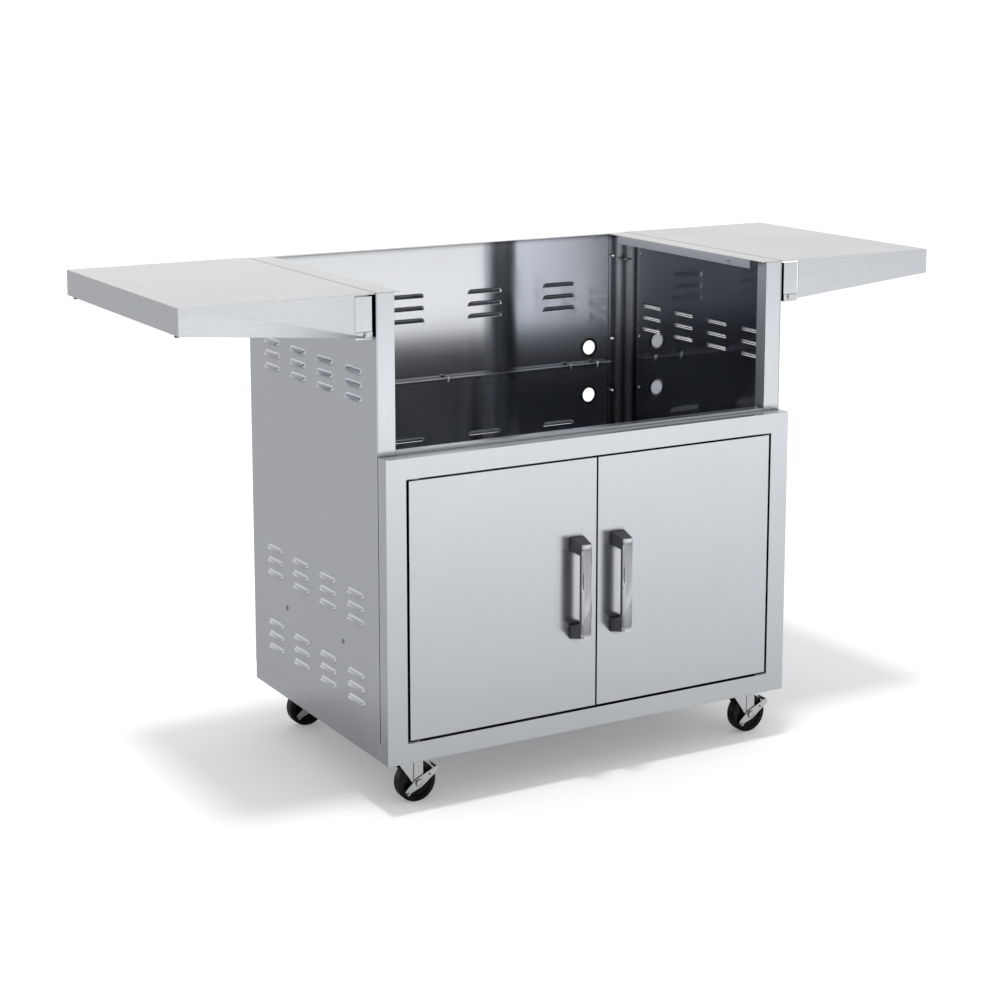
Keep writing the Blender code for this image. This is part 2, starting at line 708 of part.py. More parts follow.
def shelf(name, side):
    """A fold-down shelf with its brackets, pivot pins and rubber bumpers."""
    pivot_x = side * PIVOT_X
    pivot = joint_empty(f"{name}_shelf_pivot", (pivot_x, POST_Y + SHELF_D / 2, PIVOT_Z))
    pan = shelf_pan(name, side, pivot)
    lip_low = TOP_Z - APRON_OUTER
    outer = side * (SHELF_OUT_X - SHEET / 2)
    inner = side * (SHELF_OUT_X - SHELF_LIP)
    lip = span_box(f"{name}_shelf_lip", (min(outer, inner), POST_Y + SHEET / 2, lip_low),
                   (max(outer, inner), SHELF_END_Y - SHEET / 2, lip_low + SHEET))
    boolean(pan, lip, "UNION")
    notch_end = side * (SHELF_IN_X + NOTCH_W)
    far = side * (HALF_W - LIP)
    tongue_end = side * (SHELF_IN_X + TONGUE_CLEAR)
    for end, y0, y1, into in (("front", POST_Y - LIP, POST_Y + SHEET + GAP, 1),
                              ("rear", SHELF_END_Y - SHEET - GAP, SHELF_END_Y + LIP, -1)):
        notch = span_box(f"{name}_{end}_notch", (min(notch_end, far), y0, TOP_Z - NOTCH_LOW),
                         (max(notch_end, far), y1, TOP_Z - NOTCH_TOP))
        tongue = span_box(f"{name}_{end}_tongue_cut", (min(tongue_end, far), y0, TOP_Z - APRON_INNER - LIP),
                          (max(tongue_end, far), y1, TOP_Z - NOTCH_TOP))
        apron_y = POST_Y if into > 0 else SHELF_END_Y
        hole = lay_back(rod_mesh(f"{name}_{end}_pivot_cut", PIVOT_R + PIVOT_CLEAR, -LIP, LIP))
        pivot_hole = make_object(f"{name}_{end}_pivot_cut", hole, (pivot_x, apron_y, PIVOT_Z))
        for cutter in (notch, tongue, pivot_hole):
            boolean(pan, cutter)
        shelf_bracket(f"{name}_{end}_shelf_bracket", side, apron_y, into, pivot_hole)
        shelf_pin(f"{name}_{end}_shelf_pin", pivot_x, apron_y, into)
        bumper(f"{name}_{end}_shelf_bumper", side, apron_y + into * BUMPER_FROM_END, pivot)


def shelf_bracket(name, side, apron_y, into, pivot_hole):
    """A stand-off bracket on the side panel: a tab behind the apron's notch carries the pivot."""
    tab_y = apron_y + into * (SHEET + GAP + BRACKET_T / 2)
    tab_end = SHELF_IN_X + NOTCH_W - BRACKET_SLIT
    web = SHELF_IN_X + TONGUE_CLEAR + BRACKET_T / 2
    flange = HALF_W + GAP + BRACKET_T / 2
    turn_y = tab_y + into * BRACKET_REACH
    if into < 0:
        turn_y = min(turn_y, SIDE_END_Y - BRACKET_T)
    profile = [(side * tab_end, tab_y), (side * web, tab_y), (side * web, turn_y),
               (side * flange, turn_y), (side * flange, turn_y + into * BRACKET_FLANGE)]
    start = PIVOT_Z - BRACKET_BELOW_PIVOT
    bracket = folded_sheet(name, profile, "XY", start, TOP_Z - BRACKET_TOP - start, BRACKET_T, BRUSHED)
    boolean(bracket, pivot_hole)


def shelf_pin(name, x, apron_y, into):
    """A rivet with a low head outside the apron and a clinched tail behind the bracket's tab."""
    head = -GAP - PIVOT_HEAD_T
    tail = SHEET + GAP + BRACKET_T + GAP
    profile = [(0, tail + PIVOT_HEAD_T), (PIVOT_HEAD_R, tail + PIVOT_HEAD_T), (PIVOT_HEAD_R, tail),
               (PIVOT_R, tail), (PIVOT_R, -GAP), (PIVOT_HEAD_R, -GAP), (PIVOT_HEAD_R, head), (0, head)]
    mesh = turned_mesh(name, profile, ROUND_STEPS // 2)
    mesh.transform(Matrix.Rotation(math.radians(-90 * into), 4, "X"))
    make_object(name, mesh, (x, apron_y, PIVOT_Z), ZINC)


def bumper(name, side, y, pivot):
    """A rubber button under the outer apron, which meets the side panel when the shelf hangs."""
    at = (side * (SHELF_OUT_X - BUMPER_FROM_EDGE), y, TOP_Z - APRON_OUTER - GAP)
    make_object(name, rod_mesh(name, BUMPER_R, -BUMPER_H, 0, ROUND_STEPS // 2), at, RUBBER, pivot)


def caster_plate(name, x, y):
    """The top plate that bolts under the cabinet floor, with the fixed half of the swivel race."""
    top = FLOOR_Z - SHEET - GAP
    low = top - CASTER_PLATE_T
    half = CASTER_PLATE / 2
    plate = span_box(f"{name}_plate", (x - half, y - half, low), (x + half, y + half, top), ZINC)
    race = rod_mesh(f"{name}_race", RACE_R, low - RACE_H, low + CASTER_PLATE_T / 2)
    boolean(plate, make_object(f"{name}_race", race, (x, y, 0)), "UNION")
    return low - RACE_H


def fork_leg_outline():
    """A leg seen from the side: wide under the crown, narrow and round at the axle."""
    crown = WHEEL_R + FORK_CROWN_CLEAR + FORK_CROWN_T - CROWN_INSET
    points = [(CASTER_TRAIL + FORK_FOOT_R, crown), (FORK_BACK_X, crown)]
    points += arc(CASTER_TRAIL, 0, FORK_FOOT_R, FORK_FOOT_START, 360, ROUND_STEPS // 3)
    return points


def caster_fork(name, x, y, race_low, swivel):
    """A pressed fork: crown, two legs and the axle riveted through them."""
    crown_z = WHEEL_R * 2 + FORK_CROWN_CLEAR
    leg_in = WHEEL_W / 2 + FORK_CLEAR
    leg_out = leg_in + FORK_T
    half_w = leg_in + FORK_T / 2
    front = CASTER_TRAIL + FORK_FOOT_R
    fork = span_box(f"{name}_fork", (x + FORK_BACK_X + CROWN_INSET, y - half_w, crown_z),
                    (x + front - CROWN_INSET, y + half_w, crown_z + FORK_CROWN_T), ZINC, swivel)
    stem = rod_mesh(f"{name}_stem", RACE_R - RACE_STEP, crown_z + CROWN_INSET, race_low - GAP)
    boolean(fork, make_object(f"{name}_stem", stem, (x, y, 0)), "UNION")
    for end in (-1, 1):
        leg = flat_mesh(f"{name}_leg_{end}", fork_leg_outline(), FORK_T)
        at = (x, y + end * (leg_in + FORK_T / 2), WHEEL_R)
        boolean(fork, make_object(f"{name}_leg_{end}", leg, at), "UNION")
    reach = leg_out + PEDAL_CLEAR + PEDAL_T + PEDAL_CLEAR
    axle = lay_back(rod_mesh(f"{name}_axle", AXLE_R, -reach, leg_out + AXLE_END))
    boolean(fork, make_object(f"{name}_axle", axle, (x + CASTER_TRAIL, y, WHEEL_R)), "UNION")


def caster_wheel(name, x, y, hub):
    """A hard rubber wheel with rounded tread edges and a recessed web each side."""
    half = WHEEL_W / 2
    bore = AXLE_R + AXLE_CLEAR
    web = half - WHEEL_RECESS
    tread = WHEEL_R - WHEEL_EDGE
    profile = [(bore, half), (WHEEL_HUB_R, half), (WHEEL_HUB_R + WHEEL_RECESS, web),
               (WHEEL_RIM_R - WHEEL_RECESS, web), (WHEEL_RIM_R, half)]
    profile += arc(tread, half - WHEEL_EDGE, WHEEL_EDGE, 90, 0, WHEEL_EDGE_STEPS)
    lower = [(r, -z) for r, z in reversed(profile)]
    mesh = lay_back(turned_mesh(f"{name}_wheel", profile + lower))
    make_object(f"{name}_wheel", mesh, (x + CASTER_TRAIL, y, WHEEL_R), RUBBER, hub)


def caster_pedal(name, x, y, hub):
    """A see-saw brake lever on the axle's front end, with one wing over the tread."""
    leg_out = WHEEL_W / 2 + FORK_CLEAR + FORK_T
    plate_y = y - leg_out - PEDAL_CLEAR - PEDAL_T / 2
    tip = PEDAL_TIP_R
    front = PEDAL_FRONT_REACH - tip
    back = PEDAL_BACK_REACH - tip
    lean = math.degrees(math.acos((PEDAL_BOSS_R - tip) / front))
    rear_lean = math.degrees(math.acos((PEDAL_BOSS_R - tip) / back))
    outline = arc(front, 0, tip, -lean, lean, 4) + arc(0, 0, PEDAL_BOSS_R, lean, 180 - rear_lean, 3)
    outline += arc(-back, 0, tip, 180 - rear_lean, 180 + rear_lean, 4)
    outline += arc(0, 0, PEDAL_BOSS_R, 180 + rear_lean, 360 - lean, 3)
    mesh = flat_mesh(f"{name}_pedal", outline, PEDAL_T)
    tilt = Matrix.Rotation(math.radians(-PEDAL_ANGLE), 4, "Y")
    mesh.transform(tilt)
    centre = (x + CASTER_TRAIL, plate_y, WHEEL_R)
    pedal = make_object(f"{name}_pedal", mesh, centre, ZINC, hub)
    wing = box_mesh(f"{name}_wing", (PEDAL_T, PEDAL_WING_L, tip * 2),
                    (PEDAL_FRONT_REACH - PEDAL_T / 2, PEDAL_WING_L / 2 - PEDAL_T / 2, 0))
    tab = box_mesh(f"{name}_tab", (tip, PEDAL_TAB_L, PEDAL_T), (-back - tip / 2, -PEDAL_TAB_L / 2, -tip / 2))
    for piece in (wing, tab):
        piece.transform(tilt)
        boolean(pedal, make_object(piece.name, piece, centre), "UNION")
    hole = lay_back(rod_mesh(f"{name}_pedal_cut", AXLE_R + AXLE_CLEAR, -LIP, LIP))
    boolean(pedal, make_object(f"{name}_pedal_cut", hole, centre))


def casters():
    rows = (("front", CASTER_Y), ("rear", BODY_D - CASTER_BACK))
    for row, y in rows:
        for name, side in (("left", -1), ("right", 1)):
            label = f"{row}_{name}_caster"
            x = side * CASTER_X
            swivel = joint_empty(f"{label}_swivel", (x, y, WHEEL_R))
            hub = joint_empty(f"{label}_hub", (x + CASTER_TRAIL, y, WHEEL_R), swivel)
            race_low = caster_plate(label, x, y)
            caster_fork(label, x, y, race_low, swivel)
            caster_wheel(label, x, y, hub)
            caster_pedal(label, x, y, hub)


base_tray()
face_frame()
cross_rail()
side_panels()
front_posts()
corner_posts()
back_panels()
back_top_strip()
seam_strip()
top_rails()
for side_name, side_sign in (("left", -1), ("right", 1)):
    door(side_name, side_sign)
    shelf(side_name, side_sign)
casters()
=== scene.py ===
"""Stainless steel grill cart: steel finishes, pressed louvres, handles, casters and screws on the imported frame.

Sizes are in metres. X runs to the right, Y from the doors to the back, Z up from the floor.
"""

import math

import bpy
from mathutils import Matrix, Vector


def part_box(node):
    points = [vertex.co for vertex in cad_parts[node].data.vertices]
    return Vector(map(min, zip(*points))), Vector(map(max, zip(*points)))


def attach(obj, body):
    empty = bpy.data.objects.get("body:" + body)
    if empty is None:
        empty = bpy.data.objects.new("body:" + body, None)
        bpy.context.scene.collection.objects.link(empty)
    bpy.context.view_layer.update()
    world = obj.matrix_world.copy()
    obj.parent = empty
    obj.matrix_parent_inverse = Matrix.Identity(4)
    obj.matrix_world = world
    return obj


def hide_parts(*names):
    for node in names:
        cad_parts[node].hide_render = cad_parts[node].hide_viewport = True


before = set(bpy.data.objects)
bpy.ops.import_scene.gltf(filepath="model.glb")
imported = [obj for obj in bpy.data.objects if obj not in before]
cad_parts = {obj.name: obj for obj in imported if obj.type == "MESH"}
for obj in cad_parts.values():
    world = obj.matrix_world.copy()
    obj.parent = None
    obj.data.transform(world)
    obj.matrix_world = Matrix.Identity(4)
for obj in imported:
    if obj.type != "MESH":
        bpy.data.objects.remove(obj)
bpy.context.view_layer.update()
bpy.ops.object.select_all(action="DESELECT")

# Camera: it stands off the cart's front left corner, half a metre above the shelves, with a long lens.
# A small downward shift keeps the uprights close to vertical.
CAMERA_PLACE = (-2.0496, -3.4724, 1.455)
CAMERA_YAW = 29.957
CAMERA_PITCH = 9.732
CAMERA_LENS = 77.28
CAMERA_SHIFT = -0.15
bpy.ops.object.camera_add(location=CAMERA_PLACE,
                          rotation=(math.radians(90 - CAMERA_PITCH), 0, math.radians(-CAMERA_YAW)))
camera = bpy.context.object
camera.name = "camera"
camera.data.lens = CAMERA_LENS
camera.data.shift_y = CAMERA_SHIFT
bpy.context.scene.camera = camera
bpy.context.scene.view_settings.view_transform = "Standard"


def node_tree(owner):
    """An empty shader tree on a material or a world."""
    owner.use_nodes = True
    tree = owner.node_tree
    tree.nodes.clear()
    return tree


def node(tree, kind, **values):
    """A shader node, with its settings and socket values given by name."""
    made = tree.nodes.new("ShaderNode" + kind)
    for key, value in values.items():
        if hasattr(made, key):
            setattr(made, key, value)
        else:
            made.inputs[key.replace("_", " ")].default_value = value
    return made


# Studio: a soft light high up leans a little to the front left in a white room, so the shadows fall just behind the
# cart and to its right. The floor is plain pale paper, white where it is lit, and it keeps the soft shadow.
FILL = 0.80
SUN_LEVEL = 1.10
SUN_SPREAD = 8.0
SUN_LEAN = (5.5, 7.5)
bpy.ops.object.light_add(type="SUN", rotation=(math.radians(SUN_LEAN[0]), math.radians(-SUN_LEAN[1]), 0.0))
sun = bpy.context.object
sun.name = "soft_overhead_light"
sun.data.energy = SUN_LEVEL
sun.data.angle = math.radians(SUN_SPREAD)


def clear_rays(tree):
    """The ray node, and 1 for rays that show the room in the picture, in steel or through glass, or else 0."""
    rays = node(tree, "LightPath")
    first = node(tree, "Math", operation="MAXIMUM")
    tree.links.new(rays.outputs["Is Camera Ray"], first.inputs[0])
    tree.links.new(rays.outputs["Is Glossy Ray"], first.inputs[1])
    second = node(tree, "Math", operation="MAXIMUM")
    tree.links.new(first.outputs[0], second.inputs[0])
    tree.links.new(rays.outputs["Is Transmission Ray"], second.inputs[1])
    return rays, second.outputs[0]


# The room is white at the height of the eye, and steel sees a greyer ceiling above it. The change from one to the
# other is given by how steeply a ray climbs.
CEILING = 0.38
HORIZON = 0.88
CLIMB_FIRST = 0.13
CLIMB_LAST = 0.33
world = bpy.data.worlds.new("white_room")
bpy.context.scene.world = world
tree = node_tree(world)
rays, clear = clear_rays(tree)
way = node(tree, "TexCoord")
parts = node(tree, "SeparateXYZ")
tree.links.new(way.outputs["Generated"], parts.inputs[0])
ceiling = node(tree, "MapRange", From_Min=CLIMB_FIRST, From_Max=CLIMB_LAST, To_Min=HORIZON, To_Max=CEILING)
tree.links.new(parts.outputs["Z"], ceiling.inputs["Value"])
shown = node(tree, "Mix", data_type="FLOAT")
shown.inputs[3].default_value = 1.0
tree.links.new(rays.outputs["Is Camera Ray"], shown.inputs[0])
tree.links.new(ceiling.outputs["Result"], shown.inputs[2])
level = node(tree, "Mix", data_type="FLOAT")
level.inputs[2].default_value = FILL
tree.links.new(clear, level.inputs[0])
tree.links.new(shown.outputs[0], level.inputs[3])
sky = node(tree, "Background", Color=(1.0, 1.0, 1.0, 1.0))
tree.links.new(level.outputs[0], sky.inputs["Strength"])
tree.links.new(sky.outputs[0], node(tree, "OutputWorld").inputs["Surface"])

# In the steel the floor has a bright pool in front on the right, and it fades away from there.
FLOOR_TONE = 0.86
FLOOR_LIFT = 0.19
FLOOR_SIZE = 80.0
POOL_PLACE = (1.6, -5.0, 0.0)
POOL_REACH = (0.5, 6.0)
POOL_TONES = (1.0, 0.40)
bpy.ops.mesh.primitive_plane_add(size=FLOOR_SIZE)
floor = bpy.context.object
floor.name = "studio_floor"
paper = bpy.data.materials.new("white_paper")
tree = node_tree(paper)
rays = node(tree, "LightPath")
place = node(tree, "TexCoord")
away = node(tree, "VectorMath", operation="DISTANCE")
away.inputs[1].default_value = POOL_PLACE
tree.links.new(place.outputs["Object"], away.inputs[0])
fade = node(tree, "MapRange", From_Min=POOL_REACH[0], From_Max=POOL_REACH[1], To_Min=POOL_TONES[0],
            To_Max=POOL_TONES[1])
tree.links.new(away.outputs["Value"], fade.inputs["Value"])
tone = node(tree, "Mix", data_type="FLOAT")
tone.inputs[2].default_value = FLOOR_TONE
tree.links.new(rays.outputs["Is Glossy Ray"], tone.inputs[0])
tree.links.new(fade.outputs["Result"], tone.inputs[3])
matt = node(tree, "BsdfDiffuse")
tree.links.new(tone.outputs[0], matt.inputs["Color"])
share = node(tree, "Math", operation="MULTIPLY")
share.inputs[1].default_value = FLOOR_LIFT
tree.links.new(rays.outputs["Is Camera Ray"], share.inputs[0])
lift = node(tree, "Emission", Color=(0.97, 0.99, 1.0, 1.0))
tree.links.new(share.outputs[0], lift.inputs["Strength"])
both = node(tree, "AddShader")
tree.links.new(matt.outputs[0], both.inputs[0])
tree.links.new(lift.outputs[0], both.inputs[1])
tree.links.new(both.outputs[0], node(tree, "OutputMaterial").inputs["Surface"])
floor.data.materials.append(paper)


def stand_card(name, size, place, tilt, mat):
    """A flat card that only the steel sees. It isn't in the picture, and it neither lights nor shades anything."""
    bpy.ops.mesh.primitive_plane_add(size=1.0, location=place, rotation=(math.radians(tilt), 0.0, 0.0))
    card = bpy.context.object
    card.name = name
    card.scale = (*size, 1.0)
    bpy.ops.object.transform_apply()
    card.data.materials.append(mat)
    card.visible_camera = False
    card.visible_diffuse = False
    card.visible_shadow = False


# Dark cloth beside the camera, on a stand and on the floor before it, gives the polished inside its dark
# reflections.
dark = bpy.data.materials.new("dark_cloth")
tree = node_tree(dark)
cloth = node(tree, "BsdfDiffuse", Color=(0.088, 0.09, 0.10, 1.0))
tree.links.new(cloth.outputs[0], node(tree, "OutputMaterial").inputs["Surface"])
stand_card("standing_cloth", (2.6, 2.6), (-2.98, -3.1, 1.3), 90.0, dark)
stand_card("floor_cloth", (2.65, 1.9), (-2.88, -2.15, 0.002), 0.0, dark)

# White cards: the one far in front and the one beside the cloth, which fades towards it, light the polished back.
# The one behind the cart lights the louvres from below.
CARD_LIGHT = 0.9
CARD_EDGE_LIGHT = 0.2
CARD_FADE = (-1.75, -1.3)
white = bpy.data.materials.new("white_card")
tree = node_tree(white)
place = node(tree, "TexCoord")
across = node(tree, "SeparateXYZ")
tree.links.new(place.outputs["Object"], across.inputs[0])
fade = node(tree, "MapRange", From_Min=CARD_FADE[0], From_Max=CARD_FADE[1], To_Min=CARD_EDGE_LIGHT,
            To_Max=CARD_LIGHT)
tree.links.new(across.outputs["X"], fade.inputs["Value"])
glow = node(tree, "Emission", Color=(1.0, 1.0, 1.0, 1.0))
tree.links.new(fade.outputs["Result"], glow.inputs["Strength"])
tree.links.new(glow.outputs[0], node(tree, "OutputMaterial").inputs["Surface"])
stand_card("floor_card", (4.4, 3.8), (3.2, -6.3, 0.002), 0.0, white)
stand_card("standing_card", (1.2, 0.73), (-1.2, -3.0, 0.585), 90.0, white)
stand_card("rear_card", (2.0, 1.8), (0.7, 1.75, 0.002), 0.0, white)


# Base tray, face frame and cross rail: 1.2 mm sheet, satin brushed outside, folded on a press brake.
# The face frame is one picture frame round the doors, set on the front of the tray.
def brushed_grain():
    """Fine scratches that run one way: their tone and their depth, from a stretched place."""
    group = bpy.data.node_groups.new("brushed_grain", "ShaderNodeTree")
    group.interface.new_socket("Stretched", in_out="INPUT", socket_type="NodeSocketVector")
    group.interface.new_socket("Place", in_out="INPUT", socket_type="NodeSocketVector")
    group.interface.new_socket("Tone", in_out="OUTPUT", socket_type="NodeSocketFloat")
    group.interface.new_socket("Depth", in_out="OUTPUT", socket_type="NodeSocketFloat")
    entry = group.nodes.new("NodeGroupInput")
    result = group.nodes.new("NodeGroupOutput")
    fine = node(group, "TexNoise", Scale=1.0, Detail=4.0, Roughness=0.65)
    group.links.new(entry.outputs["Stretched"], fine.inputs["Vector"])
    broad = node(group, "TexNoise", Scale=5.0, Detail=2.0, Roughness=0.5)
    group.links.new(entry.outputs["Place"], broad.inputs["Vector"])
    mixed = node(group, "Mix", data_type="FLOAT")
    mixed.inputs["Factor"].default_value = 0.35
    group.links.new(fine.outputs["Fac"], mixed.inputs["A"])
    group.links.new(broad.outputs["Fac"], mixed.inputs["B"])
    group.links.new(mixed.outputs["Result"], result.inputs["Tone"])
    group.links.new(fine.outputs["Fac"], result.inputs["Depth"])
    return group


GRAIN = brushed_grain()
GRAIN_ACROSS = 380.0
GRAIN_ALONG = 7.0
SCRATCH_DEPTH = 0.0002
# Painted shade: colours grow darker where other surfaces are close. These set its reach and how dark it gets.
RECESS_DEPTH = 0.018
RECESS_FULL = 0.42
RECESS_CLEAR = 0.85


def painted_recess_shade(tree, colour, painted_shade_darkest):
    """The colour again with painted shade: darker inside a gap, a slot or a tight corner, where other surfaces are
    close.
    """
    shade = node(tree, "AmbientOcclusion", samples=8, Distance=RECESS_DEPTH)
    keep = node(tree, "MapRange", From_Min=RECESS_FULL, From_Max=RECESS_CLEAR, To_Min=painted_shade_darkest, To_Max=1.0)
    tree.links.new(shade.outputs["AO"], keep.inputs["Value"])
    darker = node(tree, "Mix", data_type="RGBA", blend_type="MULTIPLY")
    darker.inputs[0].default_value = 1.0
    tree.links.new(colour, darker.inputs[6])
    tree.links.new(keep.outputs["Result"], darker.inputs[7])
    return darker.outputs[2]


def steel(name, colour, low_tone, smooth, rough, along="Z", anisotropy=0.6, spin=0.0, around="Z", depth=0.03,
          painted_shade_darkest=0.06):
    """A brushed or milled steel finish whose scratches run along one axis."""
    mat = bpy.data.materials.new(name)
    tree = node_tree(mat)
    place = node(tree, "TexCoord")
    scale = [GRAIN_ALONG if axis == along else GRAIN_ACROSS for axis in "XYZ"]
    stretch = node(tree, "Mapping", Scale=scale)
    tree.links.new(place.outputs["Object"], stretch.inputs["Vector"])
    grain = tree.nodes.new("ShaderNodeGroup")
    grain.node_tree = GRAIN
    tree.links.new(stretch.outputs["Vector"], grain.inputs["Stretched"])
    tree.links.new(place.outputs["Object"], grain.inputs["Place"])
    tone = node(tree, "Mix", data_type="RGBA")
    tone.inputs[6].default_value = (*[value * low_tone for value in colour], 1.0)
    tone.inputs[7].default_value = (*colour, 1.0)
    tree.links.new(grain.outputs["Tone"], tone.inputs[0])
    shine = node(tree, "MapRange", From_Min=0.3, From_Max=0.7, To_Min=rough, To_Max=smooth)
    tree.links.new(grain.outputs["Tone"], shine.inputs["Value"])
    relief = node(tree, "Bump", Strength=depth, Distance=SCRATCH_DEPTH)
    tree.links.new(grain.outputs["Depth"], relief.inputs["Height"])
    shader = node(tree, "BsdfPrincipled", Metallic=1.0, Anisotropic=anisotropy, Anisotropic_Rotation=spin)
    # The base colour carries painted shade in gaps and corners.
    tree.links.new(painted_recess_shade(tree, tone.outputs[2], painted_shade_darkest), shader.inputs["Base Color"])
    tree.links.new(shine.outputs["Result"], shader.inputs["Roughness"])
    tree.links.new(relief.outputs["Normal"], shader.inputs["Normal"])
    turn = node(tree, "Tangent", direction_type="RADIAL", axis=around)
    tree.links.new(turn.outputs["Tangent"], shader.inputs["Tangent"])
    tree.links.new(shader.outputs[0], node(tree, "OutputMaterial").inputs["Surface"])
    return mat


SATIN = (0.815, 0.84, 0.88)
# Upward faces take a paler, more neutral copy of the satin steel, brushed front to back: the grain is real, the
# paler tone is painted light.
BRUSHED_TOP_PAINTED_LIGHT = steel("brushed_top_painted_light", (0.86, 0.875, 0.865), 0.95, 0.17, 0.23, along="Y", around="X", spin=0.25)
BRUSHED_FOLD = steel("brushed_fold", SATIN, 0.90, 0.38, 0.46, anisotropy=0.2)
BRUSHED_UP = steel("brushed_upright", SATIN, 0.88, 0.17, 0.23)
BRUSHED_ACROSS = steel("brushed_across", SATIN, 0.88, 0.17, 0.23, along="X", spin=0.25)


def start_piece(name, mesh):
    """A new object with this mesh, alone in the selection and active."""
    bpy.ops.object.select_all(action="DESELECT")
    piece = bpy.data.objects.new(name, mesh)
    bpy.context.scene.collection.objects.link(piece)
    piece.select_set(True)
    bpy.context.view_layer.objects.active = piece
    return piece


def apply_modifier(piece, kind, **values):
    """Add a modifier with these settings and apply it."""
    modifier = piece.modifiers.new(kind.lower(), kind)
    for key, value in values.items():
        setattr(modifier, key, value)
    bpy.context.view_layer.objects.active = piece
    bpy.ops.object.modifier_apply(modifier=modifier.name)


def dress(piece, nodes, body, slot, *mats):
    """Give a finished piece its materials and its body, and hide the CAD nodes that it stands for. The slot is not
    used.
    """
    piece.data.materials.clear()
    for mat in mats:
        piece.data.materials.append(mat)
    if nodes:
        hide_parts(*nodes)
    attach(piece, body)
    piece.select_set(False)


BEND = 0.0013
RIM_SHARE = 0.3
RIM_WIDTH = 0.0032
MERGE_REACH = 0.00001


def folded(name, node_name, body, slot, *mats, bend=BEND):
    """A copy of a CAD sheet with its bends rounded and its thin rims eased."""
    piece = start_piece(name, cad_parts[node_name].data.copy())
    bpy.ops.object.mode_set(mode="EDIT")
    bpy.ops.mesh.select_all(action="SELECT")
    bpy.ops.mesh.remove_doubles(threshold=MERGE_REACH)
    bpy.ops.mesh.dissolve_limited(angle_limit=math.radians(1.0))
    bpy.ops.object.mode_set(mode="OBJECT")
    mesh = piece.data
    weights = mesh.attributes.new("bevel_weight_edge", "FLOAT", "EDGE")
    areas = {}
    for face in mesh.polygons:
        for key in face.edge_keys:
            areas.setdefault(key, []).append(face.area)
    for edge in mesh.edges:
        length = (mesh.vertices[edge.vertices[0]].co - mesh.vertices[edge.vertices[1]].co).length
        width = min(areas[edge.key]) / max(length, RIM_WIDTH)
        weights.data[edge.index].value = 1.0 if width > RIM_WIDTH else RIM_SHARE
    apply_modifier(piece, "BEVEL", width=bend, segments=3, limit_method="WEIGHT", harden_normals=True)
    dress(piece, [node_name], body, slot, *mats)
    return piece


def painted_light_on_top(piece):
    """Give the faces that look up the first finish, a paler copy that is painted light, and the rest the second."""
    for face in piece.data.polygons:
        face.material_index = 0 if face.normal.z > 0.5 else 1


folded("tray_folded", "base_tray", "cart", "brushed_steel", BRUSHED_UP)
painted_light_on_top(folded("face_frame_folded", "face_frame", "cart", "brushed_steel", BRUSHED_TOP_PAINTED_LIGHT, BRUSHED_UP))
folded("cross_rail_folded", "front_cross_rail", "cart", "brushed_steel", BRUSHED_ACROSS)

# Side panels: one flat sheet each, with three bands of louvres that are lanced and pressed outwards.
# The hoods shed rain, so they open downwards. Outside the sheet is brushed, inside it keeps its mill shine in a
# darker copy, which is painted shade.
SHEET = 0.0012
LOUVRE_LENGTH = 0.071
LOUVRE_HEIGHT = 0.0100
LOUVRE_OUT = 0.0056
END_COLUMNS = 7
RAMP = ((0.0, 0.0), (0.12, 0.02), (0.26, 0.08), (0.38, 0.19), (0.68, 0.58), (1.0, 1.0))
ROWS = 3
SIDE_ROW_PITCH = 0.0245
SIDE_COLUMN_PITCH = 0.1156
SIDE_COLUMNS = 4
SIDE_BAND_HEIGHTS = (0.2135, 0.3615, 0.765)
SIDE_FACE_X = 0.430
BAY_FRONT = -0.2706
LOUVRES_BEHIND_FRONT = 0.295
SIDE_COLUMN_MIDDLE = BAY_FRONT + LOUVRES_BEHIND_FRONT
SIDE_PAINTED_LIGHT_SHARE = 0.5
SHEET_SUNK = 1.1
# The inside of each side sheet takes a darker, bluer copy of the mill finish: painted shade for the cabinet's
# shaded inside.
MILL_SIDE_PAINTED_SHADE = steel("mill_side_painted_shade", (0.71, 0.74, 0.81), 0.98, 0.055, 0.075, along="Y", anisotropy=0.95, spin=0.25,
                  depth=0.004)
# Inside each hood, the strip next to the sheet takes a near-white copy of the mill finish with no painted shade: a
# painted highlight.
HOOD_PAINTED_LIGHT = steel("hood_painted_light", (0.97, 0.98, 0.99), 0.98, 0.16, 0.20, along="Y", anisotropy=0.0, painted_shade_darkest=1.0)
# The deeper part inside each hood takes a dark copy of the mill finish: painted shade.
HOOD_PAINTED_SHADE = steel("hood_painted_shade", (0.16, 0.165, 0.18), 0.98, 0.24, 0.30, along="Y", anisotropy=0.0)


